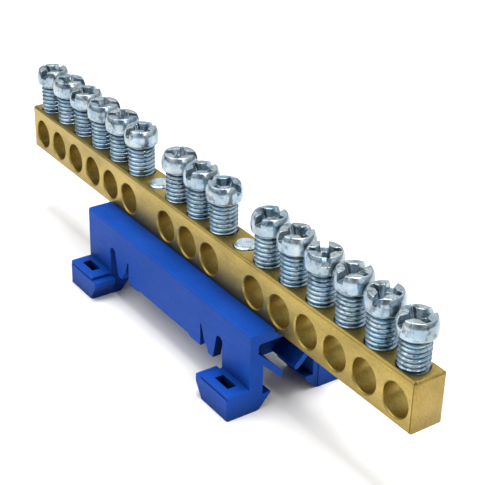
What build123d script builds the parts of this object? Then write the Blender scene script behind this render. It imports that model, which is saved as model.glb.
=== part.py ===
from build123d import *
import math
import os

# Neutral terminal bar. X runs along the bar, the wires enter from minus Y, Z is up, zero is under the feet.
# All sizes are in millimetres.

# Brass bar
bar_width = 6.0
bar_height = 9.0
group_counts = (6, 3, 6)
terminal_pitch = 7.0
group_gap = 13.1
bar_end_margin = 3.9
wire_hole_dia = 5.5
wire_hole_rise = 4.0
bar_edge_break = 0.35

# Clamp screws, M5, drawn open; the last is turned in a little further, its tip just clear of its wire hole
clamp_thread_dia = 5.0
clamp_thread_play = 0.05
clamp_tip_clearance = 0.1
clamp_stand_off = 5.6
clamp_turned_in = (0.0,) * 14 + (0.4,)
clamp_head_dia = 6.1
clamp_head_height = 3.1
clamp_head_flare = 0.95
clamp_slot_width = 1.3
clamp_slot_depth = 1.4
clamp_cross_span = 5.4
clamp_cross_width = 0.85
clamp_cross_depth = 2.2
clamp_core_dia = 3.0
clamp_turns = (115, 43, 95, 49, 55, 92, 48, 100, 20, 103, 84, 145, 97, 115, 82)

# Screws are drawn with flats close to round, so that seventeen of them stay light
screw_sides = 22
core_sides = 8
core_draft = 12.0
cross_draft = 30.0

# Mounting screws, M4, put in from under the holder, their ends standing a little above the bar
mounting_thread_dia = 4.0
mounting_thread_play = 0.05
mounting_hole_play = 0.2
mounting_end_rise = 0.4
mounting_end_break = 0.4
mounting_head_dia = 7.2
mounting_head_height = 2.4
mounting_head_edge = 0.7
mounting_cross_span = 3.6
mounting_cross_width = 1.0
mounting_cross_depth = 1.5

# Rail holder, one moulding
holder_length = 53.4
channel_width = 15.7
seat_height = 14.0
plate_thickness = 1.25
groove_depth = 0.65
groove_play = 0.1
wall_thickness = 1.6
channel_edge_radius = 0.45
pocket_radius = 0.6

# Rail fit: a 35 mm rail whose flange is held between the wall edges and the foot hooks
rail_width = 35.0
rail_flange = 1.0
rail_flange_play = 0.3
rail_hook_grip = 0.4
rail_hook_height = 3.95
rail_hook_nose = 0.75
rail_hook_lead = 2.0
wall_pad_start = 8.8
wall_pad_relief = 0.4

# Feet
rail_side_clearance = 1.2
foot_reach = 4.25
foot_edge_break = 0.25
pad_height = 0.75
pad_inset = 0.2
pad_edge_break = 0.25
strap_hole_frame = (2.1, 1.1)
strap_hole_width = 1.7
parting_step = 0.1

# Spring tongues and inner hooks, which snap over a flat bar between the legs
leg_thickness = 2.7
inner_hook_height = 2.85
inner_hook_reach = 1.6
inner_hook_nose = 0.25
inner_hook_lead = 0.7
tongue_thickness = 1.05
tongue_slope = 45.0
tongue_root_rise = 5.55
tongue_tip_gap = 1.92
tongue_round = 0.48
web_thickness = 1.6
web_screw_clearance = 1.55

# Slot and notch that free each side tooth
slot_top = 10.05
slot_top_width = 1.7
slot_lean = 1.05
slot_round = 0.75
tooth_width = 1.4
tooth_drop = 0.25
tooth_flank = (0.55, 1.25)
tooth_shoulder = (1.15, 1.55)
notch_top = 9.6
notch_width = 2.5
notch_tip_width = 0.25
notch_round = 0.11

# Worked out from the sizes above
seat_z = seat_height
bar_top_z = seat_z + bar_height
wire_z = seat_z + wire_hole_rise
plate_top_z = seat_z + groove_depth
plate_under_z = seat_z - plate_thickness
half_length = holder_length / 2
half_channel = channel_width / 2
half_pocket = half_channel - wall_thickness
leg_start = rail_width / 2 + rail_side_clearance
leg_length = half_length - leg_start
rail_seat_z = rail_hook_height + rail_flange + rail_flange_play
cut_margin = 1.0
same_point = 1e-4


def terminal_places():
    """X places of the terminals, in groups that leave room for the mounting screws."""
    places = []
    x = 0.0
    for count in group_counts:
        for _ in range(count):
            places.append(x)
            x += terminal_pitch
        x += group_gap - terminal_pitch
    centre = places[-1] / 2
    return [place - centre for place in places]


def mounting_places(terminals):
    """X places of the mounting screws, halfway between neighbouring groups."""
    places = []
    last = -1
    for count in group_counts[:-1]:
        last += count
        places.append((terminals[last] + terminals[last + 1]) / 2)
    return places


def corners_at(outline, places):
    """The corners of a flat outline that lie on the given places."""
    return [v for v in outline.vertices() if any(math.dist((v.X, v.Y), p) < same_point for p in places)]


def rounded_outline(points, corners, radius):
    """A flat outline with the named corners rounded."""
    outline = Polygon(*points, align=None)
    return fillet(corners_at(outline, corners), radius)


def round_bar(radius, low, high, top_radius=None):
    """A straight or tapering round form between two heights, drawn with flats."""
    end = Pos(0, 0, high) * RegularPolygon(top_radius or radius, screw_sides)
    if top_radius is None:
        return extrude(end, amount=low - high)
    slope = math.degrees(math.atan((top_radius - radius) * math.cos(math.pi / screw_sides) / (high - low)))
    return extrude(end, amount=low - high, taper=slope)


def busbar(terminals, mountings):
    """The brass bar with its wire holes, screw holes and broken edges."""
    length = terminals[-1] - terminals[0] + 2 * bar_end_margin
    blank = Pos(0, 0, seat_z + bar_height / 2) * Box(length, bar_width, bar_height)
    blank = chamfer(blank.edges(), bar_edge_break)
    wire_tool = Rot(90, 0, 0) * Cylinder(wire_hole_dia / 2, bar_width + cut_margin)
    bore_depth = bar_top_z - wire_z + cut_margin
    bore_tool = Cylinder(clamp_thread_dia / 2 + clamp_thread_play, bore_depth)
    mounting_tool = Cylinder(mounting_thread_dia / 2 + mounting_thread_play, bar_height + cut_margin)
    tools = [Pos(x, 0, wire_z) * wire_tool for x in terminals]
    tools += [Pos(x, 0, wire_z + bore_depth / 2) * bore_tool for x in terminals]
    tools += [Pos(x, 0, seat_z + bar_height / 2) * mounting_tool for x in mountings]
    return blank - tools


def cross_tool(span, width, depth):
    """A cross recess that opens upward at zero height, its arms' ends sloping inward."""
    floor = span / 2 - depth * math.tan(math.radians(cross_draft))
    side = Polygon((-span / 2, 0), (-floor, -depth), (floor, -depth), (span / 2, 0), align=None)
    arm = extrude(Plane.XZ * side, amount=width / 2, both=True)
    return arm + Rot(0, 0, 90) * arm


def clamp_screw():
    """A terminal screw with its head's underside at zero height: shank, flared head, slot and cross."""
    head = clamp_head_dia / 2
    bore_mouth = wire_hole_rise + wire_hole_dia / 2 + clamp_tip_clearance
    tip_z = bore_mouth - bar_height - clamp_stand_off + max(clamp_turned_in)
    shank = round_bar(clamp_thread_dia / 2, tip_z, 0)
    flare = round_bar(clamp_thread_dia / 2, 0, clamp_head_flare, head)
    cap = round_bar(head, clamp_head_flare, clamp_head_height)
    slot = Box(clamp_head_dia + cut_margin, clamp_slot_width, 2 * clamp_slot_depth)
    cross = cross_tool(clamp_cross_span, clamp_cross_width, clamp_cross_depth)
    core = Rot(0, 0, 180 / core_sides) * RegularPolygon(clamp_core_dia / 2, core_sides)
    recess = slot + cross + extrude(core, amount=-clamp_cross_depth, taper=core_draft)
    return shank + flare + cap - Pos(0, 0, clamp_head_height) * recess


def mounting_screw():
    """A mounting screw under the plate, head down, its chamfered end above the bar's top."""
    head = mounting_head_dia / 2
    head_z = plate_under_z - mounting_head_height
    radius = mounting_thread_dia / 2
    end_z = bar_top_z + mounting_end_rise
    shank = round_bar(radius, plate_under_z, end_z - mounting_end_break)
    end = round_bar(radius, end_z - mounting_end_break, end_z, radius - mounting_end_break)
    cap = round_bar(head, head_z + mounting_head_edge, plate_under_z)
    crown = round_bar(head - mounting_head_edge, head_z, head_z + mounting_head_edge, head)
    cross = cross_tool(mounting_cross_span, mounting_cross_width, mounting_cross_depth)
    return shank + end + cap + crown - Pos(0, 0, head_z) * Rot(180, 0, 0) * cross


def holder_silhouette():
    """The moulding seen along Y: plate, wall edges, teeth, slots and legs, rounded where it shows."""
    slot_foot = leg_start - slot_top_width - slot_lean
    tooth_z = rail_seat_z - tooth_drop
    tooth_start = slot_foot - tooth_width
    notch_start = tooth_start - notch_width
    notch_tip = notch_start + notch_tip_width
    slot_left = leg_start - slot_top_width
    relief_z = rail_seat_z + wall_pad_relief
    pad = [(wall_pad_start - wall_pad_relief, relief_z), (wall_pad_start, rail_seat_z),
           (notch_start, rail_seat_z)]
    notch = [(notch_start, notch_top), (notch_tip, notch_top)]
    tooth = [(tooth_start - tooth_shoulder[0], tooth_z + tooth_shoulder[1]),
             (tooth_start - tooth_flank[0], tooth_z + tooth_flank[1]), (tooth_start, tooth_z),
             (slot_foot, tooth_z)]
    slot = [(slot_left, slot_top), (leg_start, slot_top)]
    leg = [(leg_start, 0), (half_length, 0), (half_length, plate_top_z)]
    half = pad + notch + tooth + slot + leg
    outline = Polygon(*(half + [(-x, z) for x, z in reversed(half)]), align=None)
    outline = fillet(corners_at(outline, slot + [(-x, z) for x, z in slot]), slot_round)
    outline = fillet(corners_at(outline, notch + [(-x, z) for x, z in notch]), notch_round)
    return extrude(Plane.XZ * outline, amount=half_channel + cut_margin, both=True)


def holder_channel():
    """The plate and its two side walls, with rounded outer edges and an open pocket below."""
    block = Pos(0, 0, plate_top_z / 2) * Box(holder_length, channel_width, plate_top_z)
    block = fillet(block.edges().group_by(Axis.Z)[-1].filter_by(Axis.X), channel_edge_radius)
    corners = [(-half_pocket, plate_under_z), (half_pocket, plate_under_z)]
    section = [(-half_pocket, -cut_margin), (half_pocket, -cut_margin), corners[1], corners[0]]
    pocket = rounded_outline(section, corners, pocket_radius)
    return block - extrude(Plane.YZ * pocket, amount=half_length + cut_margin, both=True)


def leg_inside():
    """The inner half of one leg in the YZ plane: hook, thick wall and spring tongue, on the minus Y side."""
    wall = -half_channel + wall_thickness / 2
    inner = -half_channel + leg_thickness
    hook = inner + inner_hook_reach
    slope = math.radians(tongue_slope)
    root_z = inner_hook_height + tongue_root_rise
    low_y = -tongue_tip_gap / 2 - tongue_thickness * math.sin(slope)
    low_z = root_z - (low_y - inner) * math.tan(slope)
    low_corner = (low_y, low_z)
    high_corner = (-tongue_tip_gap / 2, low_z + tongue_thickness * math.cos(slope))
    upper_root_z = root_z + tongue_thickness / math.cos(slope) + (inner + half_pocket) * math.tan(slope)
    points = [(wall, 0), (inner - inner_hook_lead, 0), (hook, inner_hook_height - inner_hook_nose),
              (hook, inner_hook_height), (inner, inner_hook_height), (inner, root_z),
              low_corner, high_corner, (-half_pocket, upper_root_z), (wall, upper_root_z)]
    section = rounded_outline(points, [low_corner, high_corner], tongue_round)
    length = leg_length - parting_step
    return Pos(leg_start, 0, 0) * extrude(Plane.YZ * section, amount=length)


def foot():
    """One outer foot with its rail hook, raised pad and strap hole, at plus X and minus Y."""
    hook_tip = rail_width / 2 - rail_hook_grip
    outer = -half_channel - foot_reach
    inside = -half_channel + wall_thickness / 2
    side = [(hook_tip, rail_hook_height), (hook_tip, rail_hook_height - rail_hook_nose),
            (hook_tip + rail_hook_lead, 0), (half_length, 0), (half_length, rail_hook_height)]
    block = extrude(Plane.XZ.offset(half_channel) * Polygon(*side, align=None), amount=foot_reach)
    front = block.edges().group_by(Axis.Y)[0]
    upright = front.filter_by(lambda edge: abs((edge @ 1 - edge @ 0).X) < same_point)
    block = chamfer(upright, foot_edge_break)
    pad_top = rail_hook_height + pad_height
    pad = Box(leg_length, inside - outer - pad_inset, pad_top)
    pad = chamfer(pad.edges().group_by(Axis.Z)[-1], pad_edge_break)
    pad = Pos(half_length - leg_length / 2, (outer + pad_inset + inside) / 2, pad_top / 2) * pad
    hole_length = leg_length - 2 * strap_hole_frame[0]
    hole_x = half_length - leg_length / 2
    hole_y = -half_channel - strap_hole_frame[1] - strap_hole_width / 2
    hole = Pos(hole_x, hole_y, pad_top / 2) * Box(hole_length, strap_hole_width, pad_top + 2 * cut_margin)
    return block + pad - hole


def rail_holder(mountings):
    """The blue moulding that carries the bar and snaps on a rail."""
    web_height = plate_under_z + plate_thickness / 2 - rail_seat_z
    web_start = max(mountings) + mounting_head_dia / 2 + web_screw_clearance
    web = Box(web_thickness, 2 * half_pocket, web_height)
    web = Pos(web_start + web_thickness / 2, 0, rail_seat_z + web_height / 2) * web
    legs = leg_inside() + mirror(leg_inside(), Plane.XZ) + web
    body = holder_channel() + legs + mirror(legs, Plane.YZ)
    body = body & holder_silhouette()
    feet = foot() + mirror(foot(), Plane.XZ)
    body = body + feet + mirror(feet, Plane.YZ)
    groove_width = bar_width + 2 * groove_play
    groove = Box(holder_length + cut_margin, groove_width, 2 * groove_depth)
    groove = Pos(0, 0, seat_z + groove_depth) * groove
    hole = Cylinder(mounting_thread_dia / 2 + mounting_hole_play, 2 * seat_z)
    holes = [Pos(x, 0, seat_z) * hole for x in mountings]
    return body - groove - holes


def write(name, solid):
    """Writes one sub-part under its own name."""
    solid.label = name
    export_step(solid, "parts/" + name + ".step")


def main():
    os.makedirs("parts", exist_ok=True)
    terminals = terminal_places()
    mountings = mounting_places(terminals)
    write("rail_holder", rail_holder(mountings))
    write("busbar", busbar(terminals, mountings))
    for name, x in zip(("mounting_screw_left", "mounting_screw_right"), mountings):
        write(name, Pos(x, 0, 0) * mounting_screw())
    screw = clamp_screw()
    for number, (x, turn, turned_in) in enumerate(zip(terminals, clamp_turns, clamp_turned_in), start=1):
        place = Pos(x, 0, bar_top_z + clamp_stand_off - turned_in)
        write("clamp_screw_%02d" % number, place * Rot(0, 0, turn) * screw)


main()
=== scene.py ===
import math

import bmesh
import bpy
from mathutils import Matrix, Vector


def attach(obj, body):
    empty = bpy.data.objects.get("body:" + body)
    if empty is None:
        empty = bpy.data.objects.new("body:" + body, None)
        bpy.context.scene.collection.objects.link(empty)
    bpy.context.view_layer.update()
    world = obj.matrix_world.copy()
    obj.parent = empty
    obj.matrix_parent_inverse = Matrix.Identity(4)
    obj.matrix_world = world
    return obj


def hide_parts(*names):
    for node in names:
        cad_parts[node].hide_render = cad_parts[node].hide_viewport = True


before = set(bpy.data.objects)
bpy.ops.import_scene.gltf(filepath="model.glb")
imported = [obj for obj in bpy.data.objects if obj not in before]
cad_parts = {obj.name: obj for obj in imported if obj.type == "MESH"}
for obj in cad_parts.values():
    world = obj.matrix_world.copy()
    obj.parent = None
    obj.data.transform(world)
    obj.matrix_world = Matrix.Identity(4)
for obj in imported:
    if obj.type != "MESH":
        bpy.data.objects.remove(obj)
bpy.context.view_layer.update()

# The solids of a terminal bar are dressed here with threads, worn heads, drilled brass and rounded plastic.
# Places and sizes in millimetres, the same as the solids have
MM = 0.001
GROUP_COUNTS = (6, 3, 6)
PITCH = 7.0
GROUP_GAP = 13.1
BAR_LENGTH = 118.0
BAR_WIDTH = 6.0
SEAT_Z = 14.0
BAR_TOP_Z = 23.0
WIRE_Z = 18.0
WIRE_RADIUS = 2.75
PLATE_UNDER_Z = 12.75

# Broken edges and rims, which the scene adds
EDGE_BREAK = 0.35
BREAK_ROUND = 0.06
HOLDER_ROUND = 0.12
WIRE_RIM = 0.24
BORE_RIM = 0.12
STUD_RIM = 0.25
DRILL_OVER = 1.0
DRILL_SIDES = 72

# Clamp screws: their turn in degrees as photographed, and how far the last is turned in
TURNS = (115, 43, 95, 49, 55, 92, 48, 100, 20, 103, 84, 145, 97, 115, 82)
LAST_TURNED_IN = 0.4
HEAD_Z = 28.6
HEAD_RADIUS = 3.15
HEAD_HEIGHT = 3.1
HEAD_SIDES = 96
SLOT_LENGTH = 8.0
SLOT_WIDTH = 1.3
SLOT_DEPTH = 1.4
CROSS_SPAN = 4.9
CROSS_WIDTH = 1.05
CROSS_DEPTH = 2.2
CORE_RADIUS = 1.5
CORE_SIDES = 8
SLOT_FLOOR = 0.92
CORE_FLOOR = 0.69
THREAD_RADIUS = 2.46
THREAD_DEPTH = 0.46
THREAD_PITCH = 0.8
THREAD_LENGTH = 7.35
THREAD_LEAD = 0.45
BORE_RADIUS = 2.5

# Mounting screws
PAN_RADIUS = 3.6
PAN_HEIGHT = 2.4
PAN_SIDES = 72
PAN_CROSS_SPAN = 3.6
PAN_CROSS_WIDTH = 1.0
PAN_CROSS_DEPTH = 1.5
STUD_RADIUS = 2.0
STUD_DEPTH = 0.38
STUD_PITCH = 0.7
STUD_LEAD = 0.42
STUD_RISE = 0.4
STUD_CLEARANCE = 0.05

# Both kinds of screw; a value named FLOOR is the width at a recess's floor as a share of that at its mouth
ARM_SLOPE = 30.0
ARM_FLOOR = 0.85
THREAD_SIDES = 64

# One turn of thread: shares of the pitch along Z, and shares of the depth below the crest
THREAD_FORM = ((0.00, 1.0), (0.08, 1.0), (0.37, 0.10), (0.45, 0.0), (0.52, 0.0), (0.60, 0.10), (0.88, 0.95))

# Distances under which points are one point or lie on a cut, and angles in degrees that are shaded sharp
THREAD_MERGE = 1e-4
CRUMB = 2e-4
AT_CUT = 1e-5
AT_RIM = 1e-3
SCREW_CREASE = 38
BAR_CREASE = 24

# Camera, fitted to the hole rims, edges and heads of the photograph
CAMERA_PLACE = (160.70, -104.13, 120.86)
CAMERA_AZIMUTH = 54.891
CAMERA_ELEVATION = 28.408
CAMERA_ROLL = 1.421
CAMERA_LENS = 92.57
SENSOR_WIDTH = 36.0

# Surround, from grey at the horizon to white above, each as its height and its colour. The patches are the
# dark and the blue that the heads mirror from near the camera, as direction, half width in degrees, colour
HORIZON = (0.05, (0.16, 0.17, 0.18, 1))
ZENITH = (0.56, (1, 1, 1, 1))
PATCHES = (((0.72, -0.51, 0.50), 18, (0.03, 0.02, 0.012, 1)),
           ((0.50, -0.72, 0.45), 7, (0.05, 0.10, 0.50, 1)))
PATCH_EDGE = 3.0
SKY_STRENGTH = 0.95
LAMP_AIM = (0, 0, 0.015)
FLOOR_HALF = 3.0


# Places along the bar

def terminal_places():
    """X places of the terminals, in groups that leave room for the mounting screws."""
    places = []
    x = 0.0
    for count in GROUP_COUNTS:
        for _ in range(count):
            places.append(x)
            x += PITCH
        x += GROUP_GAP - PITCH
    return [place - places[-1] / 2 for place in places]


TERMINALS = terminal_places()
LAST_GROUP = GROUP_COUNTS[0] + GROUP_COUNTS[1]
MOUNTING_X = (TERMINALS[LAST_GROUP - 1] + TERMINALS[LAST_GROUP]) / 2


# Mesh tools

def new_object(name, bm):
    """An object with the given mesh, linked to the scene."""
    mesh = bpy.data.meshes.new(name)
    bm.to_mesh(mesh)
    bm.free()
    obj = bpy.data.objects.new(name, mesh)
    bpy.context.scene.collection.objects.link(obj)
    return obj


def lathe(profile, sides):
    """A closed solid turned about Z from (radius, height) points, first and last on the axis."""
    bm = bmesh.new()
    rings = []
    for radius, z in profile:
        count = sides if radius else 1
        turn = [2 * math.pi * k / count for k in range(count)]
        rings.append([bm.verts.new((radius * math.cos(a), radius * math.sin(a), z)) for a in turn])
    for low, high in zip(rings, rings[1:]):
        for k in range(sides):
            n = (k + 1) % sides
            corners = [low[k % len(low)], low[n % len(low)], high[n % len(high)], high[k % len(high)]]
            bm.faces.new(list(dict.fromkeys(corners)))
    bmesh.ops.recalc_face_normals(bm, faces=bm.faces)
    return bm


def tapered_block(top, bottom, depth):
    """A block from one flat outline at height zero down to a smaller one; it also rises a little above."""
    bm = bmesh.new()
    rise = 0.5
    over = [bm.verts.new((a + (a - c) * rise / depth, b + (b - d) * rise / depth, rise))
            for (a, b), (c, d) in zip(top, bottom)]
    under = [bm.verts.new((x, y, -depth)) for x, y in bottom]
    bm.faces.new(over)
    bm.faces.new(list(reversed(under)))
    for k in range(len(top)):
        n = (k + 1) % len(top)
        bm.faces.new([over[k], under[k], under[n], over[n]])
    bmesh.ops.recalc_face_normals(bm, faces=bm.faces)
    return bm


def rectangle(length, width):
    """The corners of a rectangle about the middle."""
    x, y = length / 2, width / 2
    return [(-x, -y), (x, -y), (x, y), (-x, y)]


def ring_of(radius, sides):
    """The corners of a regular outline about the middle."""
    turn = [2 * math.pi * (k + 0.5) / sides for k in range(sides)]
    return [(radius * math.cos(a), radius * math.sin(a)) for a in turn]


def moved(bm, matrix):
    """The same mesh, moved."""
    bmesh.ops.transform(bm, matrix=matrix, verts=bm.verts)
    return bm


def bake(obj):
    """Applies the object's modifiers to its mesh."""
    graph = bpy.context.evaluated_depsgraph_get()
    mesh = bpy.data.meshes.new_from_object(obj.evaluated_get(graph))
    old = obj.data
    obj.modifiers.clear()
    obj.data = mesh
    bpy.data.meshes.remove(old)


def cut(obj, tools):
    """Takes each tool away from the object."""
    for bm in tools:
        tool = new_object("tool", bm)
        step = obj.modifiers.new("cut", "BOOLEAN")
        step.operation = "DIFFERENCE"
        step.solver = "EXACT"
        step.object = tool
        bake(obj)
        bpy.data.meshes.remove(tool.data)


def soften(obj, width, segments, angle):
    """Gives the object a modifier that rounds edges sharper than the angle, in degrees."""
    step = obj.modifiers.new("soften", "BEVEL")
    step.width = width
    step.segments = segments
    step.limit_method = "ANGLE"
    step.angle_limit = math.radians(angle)


def wear_round(obj, grain, passes, share):
    """Rounds every edge as stamping and plating leave it: a fine even mesh, smoothed, then thinned again."""
    step = obj.modifiers.new("grain", "REMESH")
    step.mode = "VOXEL"
    step.voxel_size = grain
    step = obj.modifiers.new("smooth", "SMOOTH")
    step.iterations = passes
    step = obj.modifiers.new("thin", "DECIMATE")
    step.ratio = share
    bake(obj)


def without_crumbs(obj):
    """Splits the faces into triangles and takes away the flat crumbs that cutting leaves."""
    bm = bmesh.new()
    bm.from_mesh(obj.data)
    bmesh.ops.triangulate(bm, faces=bm.faces)
    bmesh.ops.remove_doubles(bm, verts=bm.verts, dist=CRUMB)
    bmesh.ops.dissolve_degenerate(bm, dist=CRUMB, edges=bm.edges)
    bmesh.ops.triangulate(bm, faces=bm.faces)
    bm.to_mesh(obj.data)
    bm.free()


def joined(name, meshes):
    """One object from several meshes, each with the matrix that places it."""
    bm = bmesh.new()
    for mesh, matrix in meshes:
        copy = mesh.copy()
        copy.transform(matrix)
        bm.from_mesh(copy)
        bpy.data.meshes.remove(copy)
    return new_object(name, bm)


def finish_piece(obj, material, body, node, crease):
    """Scales a piece from millimetres, shades it, and lets it stand for one node of the solids."""
    without_crumbs(obj)
    obj.data.transform(Matrix.Scale(MM, 4))
    obj.data.shade_smooth()
    obj.data.set_sharp_from_angle(angle=math.radians(crease))
    obj.data.materials.clear()
    obj.data.materials.append(material)
    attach(obj, body)
    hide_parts(node)


# Screws

def closed_ends(bm, length):
    """Cuts an open tube square at height zero and at its length, and closes each cut end."""
    for z, away in ((0.0, (0, 0, -1)), (length, (0, 0, 1))):
        bmesh.ops.bisect_plane(bm, geom=bm.verts[:] + bm.edges[:] + bm.faces[:], dist=AT_CUT,
                               plane_co=(0, 0, z), plane_no=away, clear_outer=True)
        rim = [edge for edge in bm.edges
               if edge.is_boundary and all(abs(vert.co.z - z) < AT_RIM for vert in edge.verts)]
        middle = bm.verts.new((0, 0, z))
        for edge in rim:
            bm.faces.new([*edge.verts, middle])
    bmesh.ops.recalc_face_normals(bm, faces=bm.faces)
    return bm


def helical_thread(radius, depth, pitch, length, lead):
    """A screw thread along Z from height zero, its rows following the helix, the first turn tapered."""
    rows = [((turn + step) * pitch, radius - depth * sink)
            for turn in range(-2, math.ceil(length / pitch) + 1) for step, sink in THREAD_FORM]
    bm = bmesh.new()
    grid = []
    for row_z, row_radius in rows:
        line = []
        for k in range(THREAD_SIDES + 1):
            angle = 2 * math.pi * k / THREAD_SIDES
            z = row_z + pitch * k / THREAD_SIDES
            r = min(row_radius, radius - lead + z)
            line.append(bm.verts.new((r * math.cos(angle), r * math.sin(angle), z)))
        grid.append(line)
    for a, b in zip(grid, grid[1:]):
        for k in range(THREAD_SIDES):
            bm.faces.new([a[k], a[k + 1], b[k + 1], b[k]])
    bmesh.ops.remove_doubles(bm, verts=bm.verts, dist=THREAD_MERGE)
    return closed_ends(bm, length)


def cross_tools(span, width, depth):
    """The two arms of a cross recess, their ends sloping inward."""
    floor = span - 2 * depth * math.tan(math.radians(ARM_SLOPE))
    arms = [tapered_block(rectangle(span, width), rectangle(floor, width * ARM_FLOOR), depth)
            for _ in range(2)]
    return [arms[0], moved(arms[1], Matrix.Rotation(math.pi / 2, 4, "Z"))]


def clamp_head():
    """The head of a clamp screw, underside at zero: a flared cup with a slot, a cross and a cut-out core."""
    r, h = HEAD_RADIUS, HEAD_HEIGHT
    neck = [(0, -0.4), (2.25, -0.4), (2.30, 0.0)]
    flare = [(2.78, 0.03), (r - 0.16, 0.13), (r - 0.05, 0.32), (r, 0.70), (r + 0.02, 1.4), (r, h - 1.25)]
    crown = [(r - 0.02, h - 1.05), (r - 0.06, h - 0.85), (r - 0.12, h - 0.65), (r - 0.20, h - 0.45),
             (r - 0.29, h - 0.26), (r - 0.37, h - 0.10), (r - 0.42, h - 0.03), (r - 0.50, h), (0, h)]
    head = new_object("head", lathe(neck + flare + crown, HEAD_SIDES))
    slot = tapered_block(rectangle(SLOT_LENGTH, SLOT_WIDTH), rectangle(SLOT_LENGTH, SLOT_WIDTH * SLOT_FLOOR),
                         SLOT_DEPTH)
    core = tapered_block(ring_of(CORE_RADIUS, CORE_SIDES), ring_of(CORE_RADIUS * CORE_FLOOR, CORE_SIDES),
                         CROSS_DEPTH)
    tools = [slot, core] + cross_tools(CROSS_SPAN, CROSS_WIDTH, CROSS_DEPTH)
    cut(head, [moved(tool, Matrix.Translation((0, 0, h))) for tool in tools])
    wear_round(head, grain=0.05, passes=4, share=0.13)
    return head


def pan_head():
    """The pan head of a mounting screw, pointing down, underside at zero."""
    r, h = PAN_RADIUS, PAN_HEIGHT
    profile = [(0, 0.2), (r - 0.05, 0.2), (r, 0.0), (r, -0.9), (r - 0.1, -1.45), (r - 0.4, -1.95),
               (r - 0.9, 0.1 - h), (r - 1.6, -h), (0, -h)]
    head = new_object("head", lathe(profile, PAN_SIDES))
    turn = Matrix.Translation((0, 0, -h)) @ Matrix.Rotation(math.pi, 4, "X")
    cut(head, [moved(tool, turn) for tool in cross_tools(PAN_CROSS_SPAN, PAN_CROSS_WIDTH, PAN_CROSS_DEPTH)])
    wear_round(head, grain=0.06, passes=3, share=0.12)
    return head


def clamp_screws(material):
    """The fifteen clamp screws, each riding on its own body."""
    head = clamp_head()
    thread = new_object("thread", helical_thread(THREAD_RADIUS, THREAD_DEPTH, THREAD_PITCH, THREAD_LENGTH,
                                                 THREAD_LEAD))
    for number, (x, turn) in enumerate(zip(TERMINALS, TURNS), start=1):
        sunk = LAST_TURNED_IN if number == len(TERMINALS) else 0.0
        spin = Matrix.Rotation(math.radians(turn), 4, "Z")
        up = Matrix.Translation((x, 0, HEAD_Z - sunk)) @ spin
        down = Matrix.Translation((x, 0, HEAD_Z - sunk - THREAD_LENGTH)) @ spin
        node = "clamp_screw_%02d" % number
        obj = joined(node + "_threaded", [(head.data, up), (thread.data, down)])
        finish_piece(obj, material, "screw_%02d" % number, node, SCREW_CREASE)
    bpy.data.meshes.remove(head.data)
    bpy.data.meshes.remove(thread.data)


def mounting_screws(material):
    """The two screws that hold the bar from under the plate."""
    pan = pan_head()
    tip_z = BAR_TOP_Z + STUD_RISE
    stud = new_object("stud", helical_thread(STUD_RADIUS, STUD_DEPTH, STUD_PITCH, tip_z - PLATE_UNDER_Z,
                                             STUD_LEAD))
    for node, x in (("mounting_screw_left", -MOUNTING_X), ("mounting_screw_right", MOUNTING_X)):
        flip = Matrix.Translation((x, 0, tip_z)) @ Matrix.Rotation(math.pi, 4, "X")
        under = Matrix.Translation((x, 0, PLATE_UNDER_Z))
        obj = joined(node + "_threaded", [(pan.data, under), (stud.data, flip)])
        finish_piece(obj, material, "holder", node, SCREW_CREASE)
    bpy.data.meshes.remove(pan.data)
    bpy.data.meshes.remove(stud.data)


# Brass bar and rail holder

def through_drill(radius, half, rim):
    """A drill along Z through twice the half length, with a small rounded rim at each end."""
    flare = [(radius + rim + DRILL_OVER, half + DRILL_OVER), (radius + rim, half),
             (radius + rim * 0.5, half - rim * 0.35), (radius + rim * 0.15, half - rim * 0.7),
             (radius, half - rim)]
    lower = [(r, -z) for r, z in flare]
    start, end = (0, -half - DRILL_OVER), (0, half + DRILL_OVER)
    return lathe([start] + lower + list(reversed(flare)) + [end], DRILL_SIDES)


def top_drill(radius, low, rim):
    """A drill from the bar's top down to a height, with a small rim at the top."""
    over_z = BAR_TOP_Z + DRILL_OVER
    return lathe([(0, low), (radius, low), (radius, BAR_TOP_Z - rim), (radius + rim + DRILL_OVER, over_z),
                  (0, over_z)], DRILL_SIDES)


def brass_bar(material):
    """The drilled bar with its broken edges."""
    height = BAR_TOP_Z - SEAT_Z
    blank = bmesh.new()
    bmesh.ops.create_cube(blank, size=1.0)
    middle = Matrix.Translation((0, 0, SEAT_Z + height / 2))
    moved(blank, middle @ Matrix.Diagonal((BAR_LENGTH, BAR_WIDTH, height, 1)))
    bar = new_object("busbar_machined", blank)
    soften(bar, EDGE_BREAK, segments=1, angle=30)
    bake(bar)
    soften(bar, BREAK_ROUND, segments=2, angle=30)
    bake(bar)
    lie = Matrix.Rotation(math.pi / 2, 4, "X")
    wires = [moved(through_drill(WIRE_RADIUS, BAR_WIDTH / 2, WIRE_RIM),
                   Matrix.Translation((x, 0, WIRE_Z)) @ lie) for x in TERMINALS]
    bores = [moved(top_drill(BORE_RADIUS, WIRE_Z, BORE_RIM), Matrix.Translation((x, 0, 0)))
             for x in TERMINALS]
    holes = [moved(top_drill(STUD_RADIUS + STUD_CLEARANCE, SEAT_Z - DRILL_OVER, STUD_RIM),
                   Matrix.Translation((x, 0, 0))) for x in (-MOUNTING_X, MOUNTING_X)]
    cut(bar, wires + bores + holes)
    finish_piece(bar, material, "holder", "busbar", BAR_CREASE)


def rail_holder(material):
    """The moulding, which stays the solid itself with its edges rounded."""
    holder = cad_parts["rail_holder"]
    holder.data.materials.clear()
    holder.data.materials.append(material)
    soften(holder, HOLDER_ROUND * MM, segments=2, angle=25)


# Materials

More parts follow.
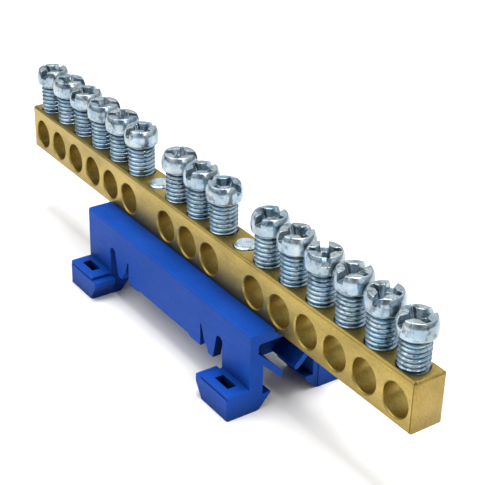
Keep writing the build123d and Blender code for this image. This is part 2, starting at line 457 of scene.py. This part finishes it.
def colour_mix(tree, blend):
    """A colour mix in a node tree: the sockets of its factor, its two colours and its result."""
    node = tree.nodes.new("ShaderNodeMix")
    node.data_type = "RGBA"
    node.blend_type = blend
    factor = next(s for s in node.inputs if s.name == "Factor" and s.type == "VALUE")
    first = next(s for s in node.inputs if s.name == "A" and s.type == "RGBA")
    second = next(s for s in node.inputs if s.name == "B" and s.type == "RGBA")
    result = next(s for s in node.outputs if s.type == "RGBA")
    return factor, first, second, result


class Nodes:
    """Short calls for building one material's node tree."""

    def __init__(self, name):
        self.material = bpy.data.materials.new(name)
        self.material.use_nodes = True
        self.tree = self.material.node_tree
        self.shader = self.tree.nodes["Principled BSDF"]
        self.place = self.tree.nodes.new("ShaderNodeTexCoord").outputs["Object"]

    def put(self, value, socket):
        """A constant or another socket into a socket."""
        if isinstance(value, (int, float)):
            socket.default_value = value
        elif isinstance(value, tuple):
            socket.default_value = (*value, 1) if len(socket.default_value) == 4 else value
        else:
            self.tree.links.new(value, socket)

    def node(self, kind, **values):
        """A new node with values for its inputs, spaces written as underscores."""
        node = self.tree.nodes.new(kind)
        for key, value in values.items():
            self.put(value, node.inputs[key.replace("_", " ")])
        return node

    def surface(self, **values):
        """Values for the surface shader, spaces written as underscores."""
        for key, value in values.items():
            self.put(value, self.shader.inputs[key.replace("_", " ")])

    def axis(self, letter):
        """One of the object's own coordinates, in metres."""
        return self.node("ShaderNodeSeparateXYZ", Vector=self.place).outputs[letter]

    def noise(self, size, detail, rough, distortion=0.0):
        """Noise with so many cells per metre along each axis."""
        scale = size if isinstance(size, tuple) else (size, size, size)
        scaled = self.node("ShaderNodeMapping", Scale=scale, Vector=self.place)
        return self.node("ShaderNodeTexNoise", Scale=1.0, Detail=detail, Roughness=rough,
                         Distortion=distortion, Vector=scaled.outputs["Vector"]).outputs["Fac"]

    def ramp(self, value, *stops):
        """A colour ramp over a value; each stop is (place, colour)."""
        node = self.node("ShaderNodeValToRGB", Fac=value)
        points = node.color_ramp.elements
        while len(points) < len(stops):
            points.new(0.5)
        for point, (place_at, colour) in zip(points, stops):
            point.position = place_at
            point.color = (*colour, 1) if isinstance(colour, tuple) else (colour, colour, colour, 1)
        return node.outputs["Color"]

    def span(self, value, low, high, new_low, new_high):
        """A value's range mapped to another."""
        return self.node("ShaderNodeMapRange", From_Min=low, From_Max=high, To_Min=new_low, To_Max=new_high,
                         Value=value).outputs["Result"]

    def rise(self, value, low, high):
        """Zero below one length in millimetres, one above another."""
        return self.span(value, low * MM, high * MM, 0.0, 1.0)

    def times(self, a, b, factor=1.0):
        """One colour darkened by another."""
        share, first, second, result = colour_mix(self.tree, "MULTIPLY")
        self.put(factor, share)
        self.put(a, first)
        self.put(b, second)
        return result

    def math(self, kind, a, b=0.0):
        """One sum on two values."""
        node = self.tree.nodes.new("ShaderNodeMath")
        node.operation = kind
        self.put(a, node.inputs[0])
        self.put(b, node.inputs[1])
        return node.outputs["Value"]

    def size_of(self, value):
        """A value without its sign."""
        return self.math("ABSOLUTE", value)

    def away_from(self, value, mark):
        """How far a length lies from a mark that is in millimetres."""
        return self.size_of(self.math("SUBTRACT", value, mark * MM))

    def painted_corner_shade(self, reach, low):
        """Painted shade: dark where surfaces close in on each other, so that grooves and undersides read
        deeper.
        """
        node = self.node("ShaderNodeAmbientOcclusion", Distance=reach)
        node.samples = 8
        return self.ramp(node.outputs["AO"], (0.15, low), (0.85, 1.0))

    def bump(self, height, strength, distance, below=None):
        """Surface bumps from a height, on top of other bumps if there are any."""
        node = self.node("ShaderNodeBump", Strength=strength, Distance=distance, Height=height)
        if below is not None:
            self.put(below, node.inputs["Normal"])
        return node.outputs["Normal"]


def zinc(name, blue_below, smudged, gain):
    """Milky zinc plate: cool grey, cloudy, smudged and nicked, bluer below a height in millimetres."""
    n = Nodes(name)
    cloud = n.noise(300, 5, 0.6)
    smudge = n.noise((620, 620, 460), 6, 0.74)
    tint = n.noise(460, 3, 0.5, 0.6)
    fine = n.noise(2600, 4, 0.65)
    nick = n.noise((1500, 1500, 900), 4, 0.6)
    dull, plain, milky = (0.28, 0.37, 0.44), (0.40, 0.48, 0.54), (0.57, 0.64, 0.69)
    teal, straw = (0.72, 0.90, 1.0), (1.0, 0.98, 0.86)
    base = n.ramp(cloud, (0.32, dull), (0.50, plain), (0.68, milky))
    base = n.times(base, n.ramp(tint, (0.36, teal), (0.50, 1.0), (0.66, straw)), 0.8)
    above = n.rise(n.axis("Z"), blue_below - 0.3, blue_below)
    base = n.times(base, n.ramp(above, (0.0, (0.90, 1.0, 1.06)), (1.0, 1.0)))
    base = n.times(base, n.ramp(smudge, (0.52, 1.0), (0.64, (0.24, 0.24, 0.26))), smudged)
    base = n.times(base, n.ramp(nick, (0.60, 1.0), (0.68, (0.30, 0.32, 0.36))), smudged)
    base = n.times(base, (gain, gain, gain))
    # Painted shade where the screw's surfaces close in: thread grooves, recesses and under the head
    base = n.times(base, n.painted_corner_shade(0.0014, (0.10, 0.17, 0.24)))
    bumps = n.bump(fine, 0.35, 0.00005, n.bump(cloud, 0.3, 0.0002))
    n.surface(Base_Color=base, Metallic=0.82, Roughness=n.span(cloud, 0.3, 0.7, 0.11, 0.27), Normal=bumps)
    return n.material


def brass():
    """Drawn brass: olive gold with grain along the bar, specks, stains and milled ends; painted shade
    darkens the broken edges, the ends, the sides towards the seat and the hollows.
    """
    n = Nodes("drawn_brass")
    along = n.size_of(n.axis("X"))
    across = n.size_of(n.axis("Y"))
    flat_x = BAR_LENGTH / 2 - EDGE_BREAK
    flat_y = BAR_WIDTH / 2 - EDGE_BREAK
    flat_z = BAR_TOP_Z - EDGE_BREAK
    top = n.rise(n.axis("Z"), flat_z - 0.1, flat_z)
    side = n.rise(across, flat_y, flat_y + 0.05)
    end = n.rise(along, flat_x, flat_x + 0.05)
    outside = n.math("MAXIMUM", n.math("MAXIMUM", side, end), top)
    inside = n.math("SUBTRACT", 1.0, outside)

    patch = n.noise((70, 200, 200), 5, 0.62)
    grain = n.noise((420, 5200, 5200), 4, 0.7)
    milled = n.noise((900, 4200, 420), 4, 0.7)
    rings = n.noise((60, 3600, 60), 3, 0.6)
    speck = n.noise(3000, 5, 0.72)
    stain = n.noise((900, 500, 700), 5, 0.7)

    olive, gold, bright = (0.36, 0.27, 0.078), (0.49, 0.365, 0.104), (0.585, 0.435, 0.135)
    base = n.ramp(patch, (0.30, olive), (0.48, gold), (0.72, bright))
    base = n.times(base, n.ramp(grain, (0.34, 0.76), (0.62, 1.0)), n.math("MULTIPLY", outside, 0.7))
    base = n.times(base, n.ramp(speck, (0.38, (0.66, 0.64, 0.60)), (0.54, 1.0)), 0.7)
    stains = n.ramp(stain, (0.60, 1.0), (0.74, (0.5, 0.5, 0.52)))
    base = n.times(base, stains, n.math("MULTIPLY", outside, 0.7))
    # Painted shade: the end faces a little darker and greyer than the sides
    base = n.times(base, n.ramp(end, (0.0, 1.0), (1.0, (0.86, 0.82, 0.86))))
    # Painted shade: the outside darker towards the seat, just above the moulding
    painted_seat_shade = n.rise(n.axis("Z"), SEAT_Z, SEAT_Z + 3.5)
    base = n.times(base, n.ramp(painted_seat_shade, (0.0, (0.66, 0.63, 0.58)), (1.0, 1.0)), outside)
    # Painted shade: a thin dark line down each side where it meets the end chamfer
    painted_end_edge_shade = n.ramp(n.rise(n.away_from(along, flat_x), 0.03, 0.12), (0.0, 0.42), (1.0, 1.0))
    base = n.times(base, painted_end_edge_shade, side)
    # Painted shade: a dark line where the top meets each side chamfer, and the top chamfers darker
    painted_top_edge_shade = n.ramp(n.rise(n.away_from(across, flat_y), 0.0, 0.12), (0.3, 0.5), (1.0, 1.0))
    base = n.times(base, n.times(painted_top_edge_shade, n.ramp(side, (0.0, 1.0), (1.0, 0.72))), top)
    # Painted shade in the drilled holes and where the bar closes in on the screws and the moulding
    base = n.times(base, n.painted_corner_shade(0.003, 0.6), 0.8)

    bumps = n.bump(n.math("MULTIPLY", grain, outside), 0.35, 0.00003, n.bump(speck, 0.2, 0.00004))
    bumps = n.bump(n.math("MULTIPLY", rings, inside), 0.3, 0.00004, bumps)
    bumps = n.bump(n.math("MULTIPLY", milled, end), 0.3, 0.00004, bumps)
    n.surface(Base_Color=base, Metallic=1.0, Roughness=n.span(speck, 0.3, 0.7, 0.32, 0.48), Normal=bumps)
    return n.material


def plastic():
    """Blue moulded plastic: satin, with a fine mould texture and faint scuffs."""
    n = Nodes("blue_moulding")
    cloud = n.noise(90, 4, 0.55)
    texture = n.noise(3800, 3, 0.6)
    scuff = n.noise((300, 1500, 1500), 5, 0.7)
    deep, light = (0.002, 0.050, 0.315), (0.004, 0.062, 0.380)
    base = n.ramp(cloud, (0.30, deep), (0.70, light))
    base = n.times(base, n.ramp(scuff, (0.62, 1.0), (0.78, (1.6, 1.45, 1.3))), 0.5)
    base = n.times(base, n.ramp(texture, (0.36, (0.80, 0.84, 0.88)), (0.66, (1.15, 1.12, 1.08))), 0.8)
    # Painted shade in the channel, under the plate, in the other hollows and near the floor
    base = n.times(base, n.painted_corner_shade(0.006, 0.07))
    bumps = n.bump(texture, 0.3, 0.00004, n.bump(cloud, 0.15, 0.0003))
    n.surface(Base_Color=base, Roughness=n.span(scuff, 0.3, 0.7, 0.45, 0.60), Specular_IOR_Level=0.12,
              Normal=bumps)
    return n.material


def paper():
    """The pale floor."""
    n = Nodes("paper_floor")
    base = n.ramp(n.noise(60, 3, 0.5), (0.3, 0.84), (0.7, 0.87))
    bumps = n.bump(n.noise(900, 3, 0.6), 0.05, 0.0001)
    n.surface(Base_Color=base, Roughness=0.9, Specular_IOR_Level=0.1, Normal=bumps)
    return n.material


# Studio

def camera():
    """The camera that the photograph was taken with."""
    data = bpy.data.cameras.new("camera")
    data.sensor_width = SENSOR_WIDTH
    data.lens = CAMERA_LENS
    data.clip_start = 0.01
    data.clip_end = 20.0
    obj = bpy.data.objects.new("camera", data)
    bpy.context.scene.collection.objects.link(obj)
    turn = Matrix.Rotation(math.radians(CAMERA_AZIMUTH), 4, "Z")
    tilt = Matrix.Rotation(math.radians(90 - CAMERA_ELEVATION), 4, "X")
    roll = Matrix.Rotation(math.radians(CAMERA_ROLL), 4, "Z")
    obj.matrix_world = Matrix.Translation(Vector(CAMERA_PLACE) * MM) @ turn @ tilt @ roll
    bpy.context.scene.camera = obj


def area_light(name, place_at, size, power):
    """A soft lamp aimed at the middle of the part; places and sizes in metres, power in watts."""
    data = bpy.data.lights.new(name, "AREA")
    data.shape = "RECTANGLE"
    data.size, data.size_y = size
    data.energy = power
    obj = bpy.data.objects.new(name, data)
    obj.location = place_at
    obj.rotation_mode = "QUATERNION"
    obj.rotation_quaternion = (Vector(LAMP_AIM) - Vector(place_at)).to_track_quat("-Z", "Y")
    bpy.context.scene.collection.objects.link(obj)


def spot(tree, direction, width):
    """How far a ray of the surround lies inside a round patch, from 0 outside to 1."""
    coords = tree.nodes.new("ShaderNodeTexCoord")
    along = tree.nodes.new("ShaderNodeVectorMath")
    along.operation = "DOT_PRODUCT"
    along.inputs[1].default_value = Vector(direction).normalized()
    inside = tree.nodes.new("ShaderNodeMapRange")
    inside.inputs["From Min"].default_value = math.cos(math.radians(width + PATCH_EDGE))
    inside.inputs["From Max"].default_value = math.cos(math.radians(width))
    tree.links.new(coords.outputs["Generated"], along.inputs[0])
    tree.links.new(along.outputs["Value"], inside.inputs["Value"])
    return inside.outputs["Result"]


def sky():
    """The surround with its patches."""
    world = bpy.data.worlds.new("studio")
    world.use_nodes = True
    tree = world.node_tree
    coords = tree.nodes.new("ShaderNodeTexCoord")
    split = tree.nodes.new("ShaderNodeSeparateXYZ")
    ramp = tree.nodes.new("ShaderNodeValToRGB")
    back = tree.nodes["Background"]
    tree.links.new(coords.outputs["Generated"], split.inputs["Vector"])
    tree.links.new(split.outputs["Z"], ramp.inputs["Fac"])
    for point, (height, colour) in zip(ramp.color_ramp.elements, (HORIZON, ZENITH)):
        point.position = height
        point.color = colour
    seen = ramp.outputs["Color"]
    for direction, width, colour in PATCHES:
        factor, first, second, result = colour_mix(tree, "MIX")
        tree.links.new(spot(tree, direction, width), factor)
        tree.links.new(seen, first)
        second.default_value = colour
        seen = result
    tree.links.new(seen, back.inputs["Color"])
    back.inputs["Strength"].default_value = SKY_STRENGTH
    bpy.context.scene.world = world


def studio():
    """Floor, surround and lamps."""
    bm = bmesh.new()
    bmesh.ops.create_grid(bm, x_segments=2, y_segments=2, size=FLOOR_HALF)
    floor = new_object("floor", bm)
    floor.data.materials.append(paper())
    sky()
    area_light("key", place_at=(-0.30, -0.60, 0.85), size=(0.95, 0.95), power=4.0)
    area_light("overhead", place_at=(0.00, 0.10, 0.90), size=(0.36, 0.36), power=6.0)
    area_light("right_strip", place_at=(0.70, -0.08, 0.50), size=(0.014, 0.14), power=1.3)
    bpy.context.scene.view_settings.view_transform = "Standard"


# The dressed part

camera()
studio()
clamp_screws(zinc("zinc_plate", blue_below=HEAD_Z, smudged=0.85, gain=1.0))
mounting_screws(zinc("zinc_plate_clean", blue_below=0.0, smudged=0.25, gain=1.5))
brass_bar(brass())
rail_holder(plastic())
